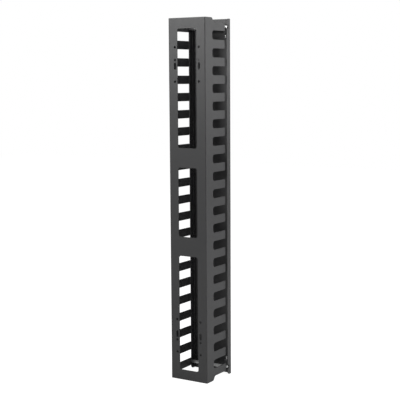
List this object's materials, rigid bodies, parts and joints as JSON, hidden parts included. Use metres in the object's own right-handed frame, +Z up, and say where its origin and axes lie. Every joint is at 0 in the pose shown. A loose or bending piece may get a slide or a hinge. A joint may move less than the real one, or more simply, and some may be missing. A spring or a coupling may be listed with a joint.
{
  "type": "vertical cable manager",
  "caption": "Tall folded steel channel for a rack, with a comb of cable fingers down each side, slotted mounting web and a cover that swings on sprung pins",
  "frame": {"origin": "centre of the four outer mounting holes, on the web's outer face, at half the height", "axes": "+X across the channel towards the hinge side, +Y from the mounting face towards the cover, +Z up the channel"},
  "size_m": [0.116, 0.117, 0.931],
  "materials": {
    "powder_coat": "fine-texture black powder coat, satin",
    "powder_coat_cover": "fine-texture black powder coat, satin",
    "zinc": "bright zinc plating on mild steel",
    "pin_steel": "bright zinc plating, turned",
    "spring_steel": "drawn spring wire",
    "bracket_black": "black powder coat",
    "magnet": "sintered ferrite, dull dark grey"
  },
  "bodies": {
    "channel": {"channel": "powder_coat", "hinge_bar_top": "zinc", "hinge_bar_bottom": "zinc"},
    "cover": {"cover": "powder_coat_cover", "pin_bracket_top": "bracket_black", "catch_bracket_top": "bracket_black", "catch_magnet_top": "magnet", "pin_spring_top": "spring_steel", "pin_bracket_bottom": "bracket_black", "catch_bracket_bottom": "bracket_black", "catch_magnet_bottom": "magnet", "pin_spring_bottom": "spring_steel"},
    "pin_top": {"hinge_pin_top": "pin_steel", "pin_clip_top": "pin_steel", "pin_knob_top": "pin_steel"},
    "pin_bottom": {"hinge_pin_bottom": "pin_steel", "pin_clip_bottom": "pin_steel", "pin_knob_bottom": "pin_steel"}
  },
  "joints": [
    {"name": "cover_swing", "type": "hinge", "parent": "channel", "child": "cover", "pos_m": [0.0525, 0.103, 0], "axis": [0, 0, -1], "range_deg": [0, 110]},
    {"name": "pin_top_pull", "type": "slide", "parent": "cover", "child": "pin_top", "axis": [0, 0, -1], "range_m": [0, 0.006], "stiffness_N_per_m": 300, "springref_m": -0.004, "deforming": ["pin_spring_top"]},
    {"name": "pin_bottom_pull", "type": "slide", "parent": "cover", "child": "pin_bottom", "axis": [0, 0, 1], "range_m": [0, 0.006], "stiffness_N_per_m": 300, "springref_m": -0.004, "deforming": ["pin_spring_bottom"]}
  ]
}
